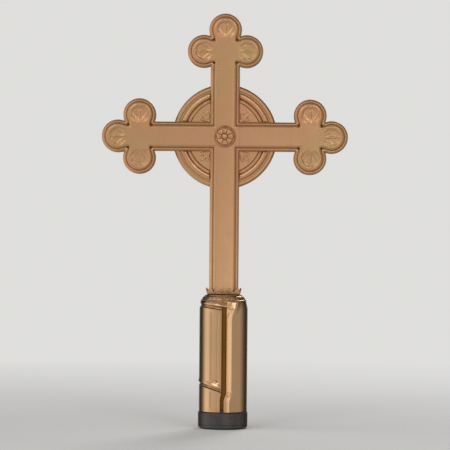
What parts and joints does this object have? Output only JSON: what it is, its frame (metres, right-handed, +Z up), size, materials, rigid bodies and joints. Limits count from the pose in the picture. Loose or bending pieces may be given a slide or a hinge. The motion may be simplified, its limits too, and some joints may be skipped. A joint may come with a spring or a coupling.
{
  "type": "altar cross",
  "caption": "Budded bronze altar cross with a ringed nimbus and raised centre strips, lifting out of a round two-shell column on a dark wooden foot.",
  "frame": {"origin": "centre of the felt pad's resting face under the foot", "axes": "+Z up along the column and upright, -Y towards the front with the raised strips and rosette, +X to the viewer's right along the crossbar"},
  "size_m": [0.362, 0.0736, 0.61],
  "materials": {
    "satin_bronze": "satin cast bronze with a thin brown patina in the recesses",
    "polished_bronze": "polished bronze, slightly tarnished at the edges",
    "dark_bronze": "darkened bronze, unpolished",
    "brass_fittings": "turned brass",
    "steel": "zinc-plated steel",
    "cast_iron": "rough cast iron",
    "dark_wood": "dark stained hardwood, satin varnish",
    "core_wood": "bare turned wood",
    "felt": "dark green wool felt"
  },
  "bodies": {
    "stand": {"felt_pad": "felt", "foot": "dark_wood", "tie_bolt": "steel", "tie_washer": "steel", "ballast": "cast_iron", "column_core": "core_wood", "socket_liner": "brass_fittings", "left_shell": "polished_bronze", "right_shell": "polished_bronze", "front_seam_strip": "dark_bronze", "rear_seam_strip": "dark_bronze", "cap": "polished_bronze", "leaf_collar": "polished_bronze", "cap_screw_1": "brass_fittings", "cap_screw_2": "brass_fittings", "cap_screw_3": "brass_fittings", "cap_screw_4": "brass_fittings"},
    "cross": {"upright": "satin_bronze", "crossbar": "satin_bronze", "top_trefoil_end": "satin_bronze", "right_trefoil_end": "satin_bronze", "left_trefoil_end": "satin_bronze", "top_end_pin": "brass_fittings", "right_end_pin": "brass_fittings", "left_end_pin": "brass_fittings", "nimbus_upper_right": "satin_bronze", "nimbus_lower_right": "satin_bronze", "nimbus_lower_left": "satin_bronze", "nimbus_upper_left": "satin_bronze", "nimbus_dowel_top": "brass_fittings", "nimbus_dowel_right": "brass_fittings", "nimbus_dowel_bottom": "brass_fittings", "nimbus_dowel_left": "brass_fittings", "crossing_rosette": "satin_bronze", "crossing_washer": "brass_fittings", "crossing_nut": "brass_fittings", "tang": "brass_fittings", "tang_pin": "brass_fittings"}
  },
  "joints": [
    {"name": "cross_lift", "type": "slide", "parent": "stand", "child": "cross", "axis": [0, 0, 1], "range_m": [0, 0.1]}
  ]
}
